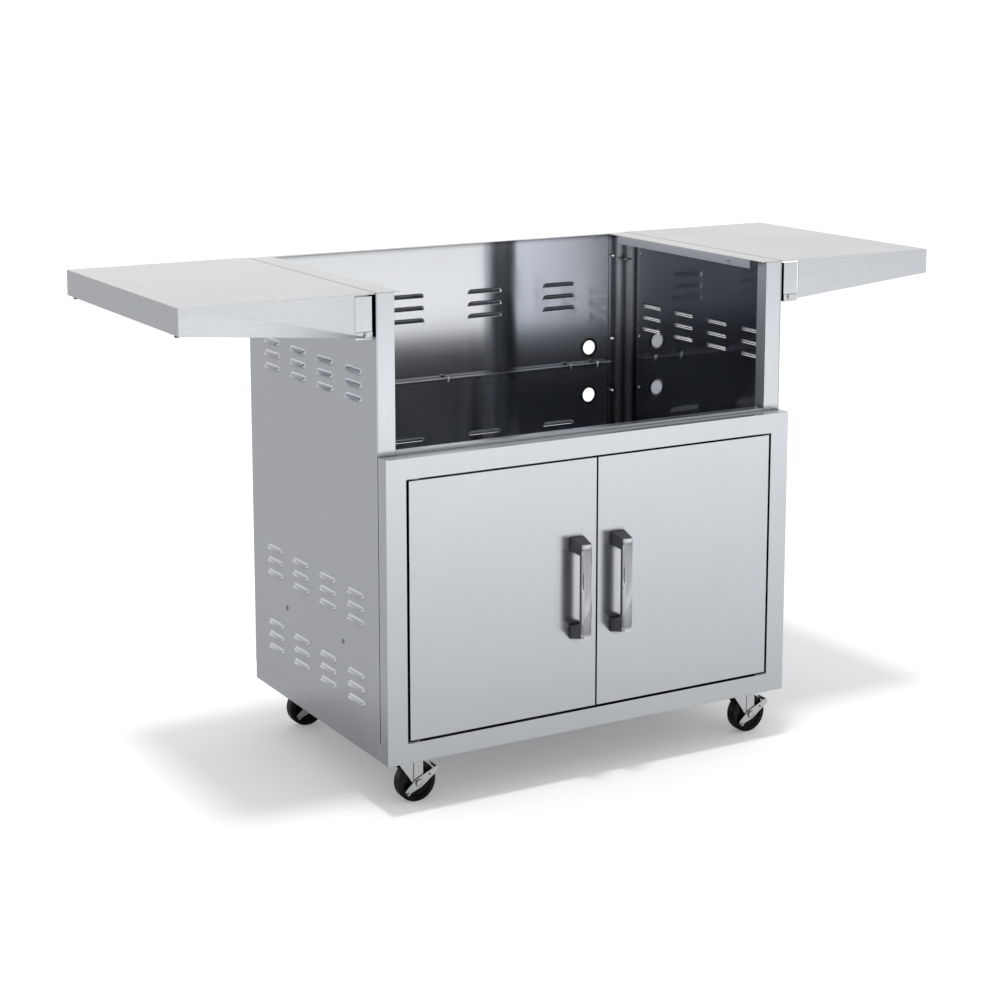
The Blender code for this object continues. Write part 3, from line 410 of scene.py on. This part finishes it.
def pressing(name, length, out, thickness, offset):
    """A half-round-ended pressing on its slit, in X and Y, bulging along Z, with a wall or a depth."""
    columns = 2 * END_COLUMNS + 1
    bpy.ops.object.select_all(action="DESELECT")
    bpy.ops.mesh.primitive_grid_add(x_subdivisions=columns, y_subdivisions=len(RAMP) - 1, size=1.0)
    piece = bpy.context.object
    piece.name = name
    core = length / 2 - LOUVRE_HEIGHT
    for vert in piece.data.vertices:
        column = round((vert.co.x + 0.5) * columns)
        rise, height = RAMP[round((vert.co.y + 0.5) * (len(RAMP) - 1))]
        reach = (1.0 - rise) * LOUVRE_HEIGHT
        side = -1.0 if column <= END_COLUMNS else 1.0
        step = column if side < 0 else columns - column
        angle = math.radians(90.0 * step / END_COLUMNS)
        vert.co.x = side * (core + reach * math.cos(angle))
        vert.co.y = reach * math.sin(angle)
        vert.co.z = out * height
    bpy.ops.object.mode_set(mode="EDIT")
    bpy.ops.mesh.select_all(action="SELECT")
    bpy.ops.mesh.remove_doubles(threshold=MERGE_REACH)
    bpy.ops.mesh.normals_make_consistent(inside=False)
    bpy.ops.object.mode_set(mode="OBJECT")
    if piece.data.polygons[0].normal.z < 0:
        piece.data.flip_normals()
    apply_modifier(piece, "SOLIDIFY", thickness=thickness, offset=offset)
    return piece


def copies(pattern, name, places):
    """Copies of one mesh at these places, joined into one object. The pattern is removed."""
    bpy.ops.object.select_all(action="DESELECT")
    for place in places:
        copy = bpy.data.objects.new(name, pattern.data.copy())
        copy.data.transform(place)
        bpy.context.scene.collection.objects.link(copy)
        copy.select_set(True)
        bpy.context.view_layer.objects.active = copy
    bpy.ops.object.join()
    joined = bpy.context.object
    joined.name = name
    bpy.data.objects.remove(pattern, do_unlink=True)
    return joined


def louvred(name, blank, places, length):
    """Lance the slits through a sheet and set a pressed hood over each one."""
    slits = copies(pressing("slit", length, 0.0, 4 * SHEET, 0.0), name + "_slits", places)
    apply_modifier(blank, "BOOLEAN", object=slits, operation="DIFFERENCE", solver="EXACT")
    bpy.data.objects.remove(slits, do_unlink=True)
    hoods = copies(pressing("hood", length, LOUVRE_OUT, SHEET * 0.9, -1.0), name + "_hoods", places)
    bpy.ops.object.select_all(action="DESELECT")
    hoods.select_set(True)
    blank.select_set(True)
    bpy.context.view_layer.objects.active = blank
    bpy.ops.object.join()
    blank.name = name
    bpy.ops.object.shade_smooth_by_angle(angle=math.radians(30.0))
    return blank


def line_inside(panel, outward, painted_light_share):
    """Give the inward faces the second finish. In each hood this share, next to the sheet, takes the third finish,
    a painted highlight, and the deeper part takes the fourth, painted shade."""
    lip = max(vert.co.dot(outward) for vert in panel.data.vertices)
    for face in panel.data.polygons:
        sunk = (lip - face.center.dot(outward)) / LOUVRE_OUT
        inside = 1 if sunk > SHEET_SUNK else 2 if sunk > 1.0 - painted_light_share else 3
        face.material_index = 0 if face.normal.dot(outward) > -0.1 else inside


def sheet_blank(low, high):
    """A flat sheet between two corners."""
    bpy.ops.object.select_all(action="DESELECT")
    bpy.ops.mesh.primitive_cube_add(size=1.0)
    blank = bpy.context.object
    blank.data.transform(Matrix.Translation((low + high) / 2) @ Matrix.Diagonal((*(high - low), 1.0)))
    return blank


def band_places(columns, rows, turn, spot):
    """Where each louvre of a band goes: its slit's middle, turned to its panel."""
    half = LOUVRE_HEIGHT / 2
    return [Matrix.Translation(spot(along, up - half)) @ turn for along in columns for up in rows]


def spread(count, pitch, middle):
    """This many places, evenly apart round the middle."""
    return [middle + pitch * (i - (count - 1) / 2) for i in range(count)]


for side_name, side in (("left", -1.0), ("right", 1.0)):
    panel_low, panel_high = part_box(side_name + "_side_panel")
    face_x = side * SIDE_FACE_X
    panel_low.x = min(face_x, face_x - side * SHEET)
    panel_high.x = max(face_x, face_x - side * SHEET)
    outward = Vector((side, 0.0, 0.0))
    turn = Matrix(((0.0, 0.0, side), (side, 0.0, 0.0), (0.0, 1.0, 0.0))).to_4x4()
    places = []
    for band in SIDE_BAND_HEIGHTS:
        places += band_places(spread(SIDE_COLUMNS, SIDE_COLUMN_PITCH, SIDE_COLUMN_MIDDLE),
                              spread(ROWS, SIDE_ROW_PITCH, band), turn,
                              lambda along, up: Vector((face_x, along, up)))
    panel = louvred(side_name + "_panel_pressed", sheet_blank(panel_low, panel_high), places, LOUVRE_LENGTH)
    dress(panel, [side_name + "_side_panel"], "cart", "brushed_steel", BRUSHED_UP, MILL_SIDE_PAINTED_SHADE, HOOD_PAINTED_LIGHT,
          HOOD_PAINTED_SHADE)
    line_inside(panel, outward, SIDE_PAINTED_LIGHT_SHARE)

# Front and rear posts: folded channels and angles that join the sides to the front and the back.
# The rear ones keep their mill shine, and small screws hold the panels to them.
MILL = steel("mill_finish", (0.88, 0.90, 0.935), 0.98, 0.105, 0.125, along="X", anisotropy=0.97, spin=0.25,
             depth=0.004)
for side_name, side in (("left", -1.0), ("right", 1.0)):
    post = folded(side_name + "_front_post_folded", side_name + "_front_post", "cart", "brushed_steel", BRUSHED_UP,
                  BRUSHED_FOLD)
    for face in post.data.polygons:
        face.material_index = 1 if face.normal.y > -0.5 and side * face.normal.x < 0.5 else 0
    folded(side_name + "_rear_post_folded", side_name + "_rear_post", "cart", "polished_steel", MILL)

# Back: two mill-finish sheets, one above the other, with an angle strip over their seam.
# Each has a hole for the gas hose, edged with a black rubber grommet.
BACK_LOUVRE_LENGTH = 0.080
BACK_ROW_PITCH = 0.025
BACK_COLUMN_PITCH = 0.178
BACK_COLUMNS = 4
BACK_PAINTED_LIGHT_SHARE = 0.15
BACK_BANDS = {"upper": 0.809, "lower": 0.516}
GAS_HOLE_RADIUS = 0.0178
BODY_DEPTH = 0.573
BACK_FACE = BAY_FRONT + BODY_DEPTH
for level_name, band in BACK_BANDS.items():
    panel_low, panel_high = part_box(level_name + "_back_panel")
    sheet_low = Vector((panel_low.x, BACK_FACE - SHEET, panel_low.z))
    sheet_high = Vector((panel_high.x, BACK_FACE, panel_high.z))
    turn = Matrix(((-1.0, 0.0, 0.0), (0.0, 0.0, 1.0), (0.0, 1.0, 0.0))).to_4x4()
    places = band_places(spread(BACK_COLUMNS, BACK_COLUMN_PITCH, 0.0), spread(ROWS, BACK_ROW_PITCH, band), turn,
                         lambda along, up: Vector((along, BACK_FACE, up)))
    panel = louvred(level_name + "_back_pressed", sheet_blank(sheet_low, sheet_high), places, BACK_LOUVRE_LENGTH)
    grommet_low, grommet_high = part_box(level_name + "_gas_grommet")
    bpy.ops.mesh.primitive_cylinder_add(vertices=48, radius=GAS_HOLE_RADIUS, depth=0.05,
                                        location=(grommet_low + grommet_high) / 2,
                                        rotation=(math.radians(90.0), 0.0, 0.0))
    drill = bpy.context.object
    apply_modifier(panel, "BOOLEAN", object=drill, operation="DIFFERENCE", solver="EXACT")
    bpy.data.objects.remove(drill, do_unlink=True)
    dress(panel, [level_name + "_back_panel"], "cart", "polished_steel", BRUSHED_ACROSS, MILL, HOOD_PAINTED_LIGHT,
          HOOD_PAINTED_SHADE)
    line_inside(panel, Vector((0.0, 1.0, 0.0)), BACK_PAINTED_LIGHT_SHARE)
folded("seam_strip_folded", "back_seam_strip", "cart", "polished_steel", MILL)
folded("top_strip_folded", "back_top_strip", "cart", "polished_steel", MILL)

# Top rails: flat strips on the cart's sides, with a hanging flange that the grill head bears on.
# They and the shelves are brushed from front to back on top.
RAIL_BEND = 0.0008
for side_name in ("left", "right"):
    painted_light_on_top(folded(side_name + "_rail_folded", side_name + "_top_rail", "cart", "brushed_steel", BRUSHED_TOP_PAINTED_LIGHT,
                       BRUSHED_FOLD, bend=RAIL_BEND))

# Doors: pressed pans with upright grain, each hung on two small pins in the face frame.
for side_name in ("left", "right"):
    folded(side_name + "_door_folded", side_name + "_door", side_name + "_door", "brushed_steel", BRUSHED_UP)

# Handles: two dark arms and a spine carry a half-round bright bar with a groove near each end.
PEBBLE_FINER = 30.0
PEBBLE_DEPTH = 0.0001


def plain(name, colour, rough, low_tone, metallic=0.0, grain=60.0, depth=0.2, sheen=0.5, painted_shade_darkest=0.06):
    """Moulded plastic, rubber or zinc: a speckled colour, an uneven shine and a fine pebbled surface."""
    mat = bpy.data.materials.new(name)
    tree = node_tree(mat)
    place = node(tree, "TexCoord")
    speckle = node(tree, "TexNoise", Scale=grain, Detail=4.0)
    tree.links.new(place.outputs["Object"], speckle.inputs["Vector"])
    tone = node(tree, "Mix", data_type="RGBA")
    tone.inputs[6].default_value = (*[value * low_tone for value in colour], 1.0)
    tone.inputs[7].default_value = (*colour, 1.0)
    tree.links.new(speckle.outputs["Fac"], tone.inputs[0])
    shine = node(tree, "MapRange", From_Min=0.3, From_Max=0.7, To_Min=rough * 0.85, To_Max=rough * 1.15)
    tree.links.new(speckle.outputs["Fac"], shine.inputs["Value"])
    pebble = node(tree, "TexNoise", Scale=grain * PEBBLE_FINER, Detail=2.0)
    tree.links.new(place.outputs["Object"], pebble.inputs["Vector"])
    relief = node(tree, "Bump", Strength=depth, Distance=PEBBLE_DEPTH)
    tree.links.new(pebble.outputs["Fac"], relief.inputs["Height"])
    shader = node(tree, "BsdfPrincipled", Metallic=metallic, Specular_IOR_Level=sheen)
    # The base colour carries painted shade in gaps and corners.
    tree.links.new(painted_recess_shade(tree, tone.outputs[2], painted_shade_darkest), shader.inputs["Base Color"])
    tree.links.new(shine.outputs["Result"], shader.inputs["Roughness"])
    tree.links.new(relief.outputs["Normal"], shader.inputs["Normal"])
    tree.links.new(shader.outputs[0], node(tree, "OutputMaterial").inputs["Surface"])
    return mat


HANDLE_ROUND = 0.0010
DARK_PLASTIC = plain("dark_grey_plastic", (0.050, 0.053, 0.066), 0.42, 0.75)
BRIGHT = steel("bright_bar", (0.90, 0.91, 0.93), 0.94, 0.10, 0.15, anisotropy=0.4)


def smoothed(name, node_name, body, slot, mat):
    """A copy of a CAD piece that was turned or moulded round, with its facets shaded away."""
    piece = start_piece(name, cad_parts[node_name].data.copy())
    bpy.ops.object.mode_set(mode="EDIT")
    bpy.ops.mesh.select_all(action="SELECT")
    bpy.ops.mesh.remove_doubles(threshold=MERGE_REACH)
    bpy.ops.object.mode_set(mode="OBJECT")
    bpy.ops.object.shade_smooth_by_angle(angle=math.radians(35.0))
    dress(piece, [node_name], body, slot, mat)
    return piece


for side_name in ("left", "right"):
    folded(side_name + "_handle_moulded", side_name + "_handle_body", side_name + "_door", "dark_plastic",
           DARK_PLASTIC, bend=HANDLE_ROUND)
    smoothed(side_name + "_bar_turned", side_name + "_handle_bar", side_name + "_door", "bright_steel", BRIGHT)

# Shelves: deep pans with a brushed top, which fold down on a rivet through each apron.
# A bracket on the cart's side stands behind each apron, and rubber buttons keep the hanging shelf off the side.
BRACKET_BEND = 0.0002
# The shelf aprons take a paler copy of the satin steel, brushed along their length: the grain is real, the paler
# tone is painted light.
BRUSHED_SKIRT_PAINTED_LIGHT = steel("brushed_skirt_painted_light", (0.84, 0.865, 0.905), 0.88, 0.24, 0.33, along="X", anisotropy=0.3)
ZINC = plain("zinc_plate", (0.86, 0.88, 0.90), 0.34, 0.85, metallic=1.0)
RUBBER = plain("black_rubber", (0.012, 0.012, 0.014), 0.5, 0.6, sheen=0.25)
for side_name in ("left", "right"):
    painted_light_on_top(folded(side_name + "_shelf_folded", side_name + "_shelf", side_name + "_shelf", "brushed_steel",
                       BRUSHED_TOP_PAINTED_LIGHT, BRUSHED_SKIRT_PAINTED_LIGHT))
    for end in ("front", "rear"):
        start_name = f"{side_name}_{end}_shelf"
        folded(start_name + "_bracket_folded", start_name + "_bracket", "cart", "brushed_steel", BRUSHED_UP,
               bend=BRACKET_BEND)
        smoothed(start_name + "_rivet", start_name + "_pin", "cart", "zinc_plate", ZINC)
        smoothed(start_name + "_button", start_name + "_bumper", side_name + "_shelf", "black_rubber", RUBBER)

# Door pivots: a zinc leaf on the face frame with the pin that the door turns on.
# Grommets: black rubber rings that grip the edge of each hose hole.
RING_RADIUS = 0.01765
RING_THICK = 0.00285
for side_name in ("left", "right"):
    for end in ("upper", "lower"):
        node_name = f"{side_name}_{end}_door_pivot"
        smoothed(node_name + "_pressed", node_name, "cart", "zinc_plate", ZINC)
for level_name in BACK_BANDS:
    ring_low, ring_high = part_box(level_name + "_gas_grommet")
    bpy.ops.object.select_all(action="DESELECT")
    bpy.ops.mesh.primitive_torus_add(major_radius=RING_RADIUS, minor_radius=RING_THICK, major_segments=64,
                                     minor_segments=20, location=(ring_low + ring_high) / 2,
                                     rotation=(math.radians(90.0), 0.0, 0.0))
    ring = bpy.context.object
    ring.name = level_name + "_hose_ring"
    bpy.ops.object.transform_apply()
    bpy.ops.object.shade_smooth()
    dress(ring, [level_name + "_gas_grommet"], "cart", "black_rubber", RUBBER)


# Casters: a zinc plate and pressed fork, a brake pedal on the axle, and a hard rubber wheel.
# The wheel is moulded in one, with rounded tread corners, a sunk web and a raised hub on each face.
def choose_faces(piece, test):
    """Go into edit mode with just the faces selected that pass a test."""
    bpy.ops.object.mode_set(mode="EDIT")
    bpy.ops.mesh.select_mode(type="FACE")
    bpy.ops.mesh.select_all(action="DESELECT")
    bpy.ops.object.mode_set(mode="OBJECT")
    for face in piece.data.polygons:
        face.select = test(face)
    bpy.ops.object.mode_set(mode="EDIT")


def ease_rim(piece, radius, width, segments):
    """Round the sharp rims at this radius from the piece's own Z axis."""
    weights = piece.data.attributes.new("bevel_weight_edge", "FLOAT", "EDGE")
    for edge in piece.data.edges:
        ends = [piece.data.vertices[index].co for index in edge.vertices]
        at_rim = all(abs(end.xy.length - radius) < MERGE_REACH for end in ends)
        weights.data[edge.index].value = 1.0 if at_rim and abs(ends[0].z - ends[1].z) < MERGE_REACH else 0.0
    apply_modifier(piece, "BEVEL", width=width, segments=segments, limit_method="WEIGHT")


WHEEL_RADIUS = 0.0375
WHEEL_WIDTH = 0.024
WHEEL_CORNER = 0.004
RIM_WALL = 0.0095
HUB_RADIUS = 0.013
SINK = 0.003
SINK_SLOPE = 0.002
HUB_CAP_RADIUS = 0.0066
HUB_CAP_HEIGHT = 0.0018
HUB_CAP_LAND = 0.0024
HUB_CAP_SLOPE = 0.0006
HUB_CAP_SINK = 0.0008
CREASE_LOW = Vector((-0.0110, WHEEL_WIDTH / -2 - 0.0060, 0.0065))
CREASE_HIGH = Vector((-0.0094, WHEEL_WIDTH / -2 - 0.0030, 0.0440))
PEDAL_HOLE = 0.0019
PEDAL_HOLE_PLACE = Vector((0.0215, 0.0, 0.0129))
PLATE_BEND = 0.0004
FORK_BEND = 0.0006
TYRE = plain("caster_rubber", (0.006, 0.006, 0.009), 0.36, 0.6, sheen=0.25)
for row in ("front", "rear"):
    for side_name in ("left", "right"):
        caster = f"{row}_{side_name}_caster"
        folded(caster + "_plate_pressed", caster + "_plate", "cart", "zinc_plate", ZINC, bend=PLATE_BEND)
        fork = folded(caster + "_fork_pressed", caster + "_fork", caster + "_fork", "zinc_plate", ZINC,
                      bend=FORK_BEND)
        wheel_low, wheel_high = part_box(caster + "_wheel")
        hub = (wheel_low + wheel_high) / 2
        fork_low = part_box(caster + "_fork")[0]
        crease = sheet_blank(hub + CREASE_LOW, hub + CREASE_HIGH)
        apply_modifier(fork, "BOOLEAN", object=crease, operation="DIFFERENCE", solver="EXACT")
        bpy.data.objects.remove(crease, do_unlink=True)
        face_forward = Matrix.Translation(hub) @ Matrix.Rotation(math.radians(90.0), 4, "X")
        bpy.ops.object.select_all(action="DESELECT")
        bpy.ops.mesh.primitive_cylinder_add(vertices=80, radius=WHEEL_RADIUS, depth=WHEEL_WIDTH)
        wheel = bpy.context.object
        wheel.name = caster + "_tyre"
        choose_faces(wheel, lambda face: abs(face.normal.z) > 0.9)
        bpy.ops.mesh.inset(thickness=RIM_WALL, depth=0.0)
        bpy.ops.mesh.inset(thickness=SINK_SLOPE, depth=-SINK)
        bpy.ops.mesh.inset(thickness=WHEEL_RADIUS - RIM_WALL - 2 * SINK_SLOPE - HUB_RADIUS, depth=0.0)
        bpy.ops.mesh.inset(thickness=SINK_SLOPE, depth=SINK)
        bpy.ops.object.mode_set(mode="OBJECT")
        ease_rim(wheel, WHEEL_RADIUS, WHEEL_CORNER, 5)
        bpy.ops.object.shade_smooth_by_angle(angle=math.radians(28.0))
        wheel.data.transform(face_forward)
        dress(wheel, [caster + "_wheel"], caster + "_wheel", "wheel_rubber", TYRE)
        bpy.ops.object.select_all(action="DESELECT")
        bpy.ops.mesh.primitive_cylinder_add(vertices=32, radius=HUB_CAP_RADIUS, depth=HUB_CAP_HEIGHT)
        cap = bpy.context.object
        cap.name = caster + "_axle_rivet"
        choose_faces(cap, lambda face: face.normal.z > 0.9)
        bpy.ops.mesh.inset(thickness=HUB_CAP_LAND, depth=0.0)
        bpy.ops.mesh.inset(thickness=HUB_CAP_SLOPE, depth=-HUB_CAP_SINK)
        bpy.ops.object.mode_set(mode="OBJECT")
        ease_rim(cap, HUB_CAP_RADIUS, HUB_CAP_SINK, 3)
        bpy.ops.object.shade_smooth_by_angle(angle=math.radians(35.0))
        axle_end = Vector((hub.x, fork_low.y, hub.z))
        cap.data.transform(Matrix.Translation(axle_end - hub) @ face_forward)
        dress(cap, [], caster + "_fork", "zinc_plate", ZINC)
        pedal = folded(caster + "_pedal_pressed", caster + "_pedal", caster + "_pedal", "zinc_plate", ZINC,
                       bend=PLATE_BEND)
        bpy.ops.object.select_all(action="DESELECT")
        bpy.ops.mesh.primitive_cylinder_add(vertices=20, radius=PEDAL_HOLE, depth=0.01,
                                            location=axle_end + PEDAL_HOLE_PLACE,
                                            rotation=(math.radians(90.0), 0.0, 0.0))
        punch = bpy.context.object
        apply_modifier(pedal, "BOOLEAN", object=punch, operation="DIFFERENCE", solver="EXACT")
        bpy.data.objects.remove(punch, do_unlink=True)

# Screws: zinc-plated sheet-metal screws with pan heads and a cross recess. They hold the side panels to the
# frame inside, the rails' flanges, the back's seam and the rear posts, where their points stick out inside.
HEAD_RADIUS = 0.0041
HEAD_HEIGHT = 0.0024
HEAD_ROUND = 0.0014
CROSS_LONG = 0.0040
CROSS_WIDE = 0.0009
CROSS_DEEP = 0.0030
THREAD_RADIUS = 0.0020
THREAD_PITCH = 0.0011
THREAD_ROOT = 0.74


def screw_head():
    """A pan head at the origin that faces up Z, with a cross pressed into it."""
    bpy.ops.object.select_all(action="DESELECT")
    bpy.ops.mesh.primitive_cylinder_add(vertices=28, radius=HEAD_RADIUS, depth=2 * HEAD_HEIGHT)
    head = bpy.context.object
    ease_rim(head, HEAD_RADIUS, HEAD_ROUND, 4)
    for size in ((CROSS_LONG, CROSS_WIDE, CROSS_DEEP), (CROSS_WIDE, CROSS_LONG, CROSS_DEEP)):
        bpy.ops.mesh.primitive_cube_add(size=1.0, location=(0.0, 0.0, HEAD_HEIGHT), scale=size)
        bit = bpy.context.object
        apply_modifier(head, "BOOLEAN", object=bit, operation="DIFFERENCE", solver="EXACT")
        bpy.data.objects.remove(bit, do_unlink=True)
    head.select_set(True)
    bpy.ops.object.shade_smooth_by_angle(angle=math.radians(35.0))
    return head


def screw_point(length):
    """The threaded end of a sheet-metal screw: ridges up Z, and then a point."""
    bpy.ops.object.select_all(action="DESELECT")
    bpy.ops.mesh.primitive_circle_add(vertices=16, radius=THREAD_RADIUS, fill_type="NGON")
    thread = bpy.context.object
    bpy.ops.object.mode_set(mode="EDIT")
    bpy.ops.mesh.select_all(action="SELECT")
    height = 0.0
    while height < length - 2 * THREAD_PITCH:
        for share in (THREAD_ROOT, 1.0 / THREAD_ROOT):
            height += THREAD_PITCH / 2
            bpy.ops.mesh.extrude_region_move(TRANSFORM_OT_translate={"value": (0.0, 0.0, THREAD_PITCH / 2)})
            bpy.ops.transform.resize(value=(share, share, 1.0), center_override=(0.0, 0.0, height))
    height += 2 * THREAD_PITCH
    bpy.ops.mesh.extrude_region_move(TRANSFORM_OT_translate={"value": (0.0, 0.0, 2 * THREAD_PITCH)})
    bpy.ops.transform.resize(value=(0.1, 0.1, 1.0), center_override=(0.0, 0.0, height))
    bpy.ops.mesh.select_all(action="SELECT")
    bpy.ops.mesh.normals_make_consistent(inside=False)
    bpy.ops.object.mode_set(mode="OBJECT")
    return thread


def facing(places, way):
    """Where a part that was made facing up Z goes, to face the way named."""
    turn = Vector(way).to_track_quat("Z", "Y").to_matrix().to_4x4()
    return [Matrix.Translation(Vector(place)) @ turn for place in places]


STRIP_TOP = 0.6636
STRIP_SCREWS = [(x, 0.2875, STRIP_TOP) for x in (-0.355, -0.289, -0.003, 0.289, 0.355)]
SEAM_SHEETS = 0.0012
CORNER_SHEETS = 0.0027
RAIL_SCREW = (0.3836, -0.1316, 0.926)
SEAM_POINT = 0.006
CORNER_POINT = 0.011
CORNER_SCREWS = [(side * 0.3955, z) for side in (-1.0, 1.0) for z in (0.888, 0.711, 0.600)]
SIDE_SCREWS = [(0.1508, 0.2795), (-0.0926, 0.2795), (0.2863, 0.8788)]
head_places = facing(STRIP_SCREWS, (0.0, 0.0, 1.0))
head_places += facing([(x, BACK_FACE, z) for x, z in CORNER_SCREWS], (0.0, 1.0, 0.0))
point_places = facing([(x, y, z - SEAM_SHEETS) for x, y, z in STRIP_SCREWS], (0.0, 0.0, -1.0))
corner_points = facing([(x, BACK_FACE - CORNER_SHEETS, z) for x, z in CORNER_SCREWS], (0.0, -1.0, 0.0))
for side in (-1.0, 1.0):
    head_places += facing([(side * SIDE_FACE_X, y, z) for y, z in SIDE_SCREWS], (side, 0.0, 0.0))
    head_places += facing([(side * RAIL_SCREW[0], *RAIL_SCREW[1:])], (-side, 0.0, 0.0))
    corner_points += facing([(side * (SIDE_FACE_X - CORNER_SHEETS), *SIDE_SCREWS[2])], (-side, 0.0, 0.0))
dress(copies(screw_head(), "screw_heads", head_places), [], "cart", "zinc_plate", ZINC)
dress(copies(screw_point(SEAM_POINT), "seam_screw_points", point_places), [], "cart", "zinc_plate", ZINC)
dress(copies(screw_point(CORNER_POINT), "corner_screw_points", corner_points), [], "cart", "zinc_plate", ZINC)
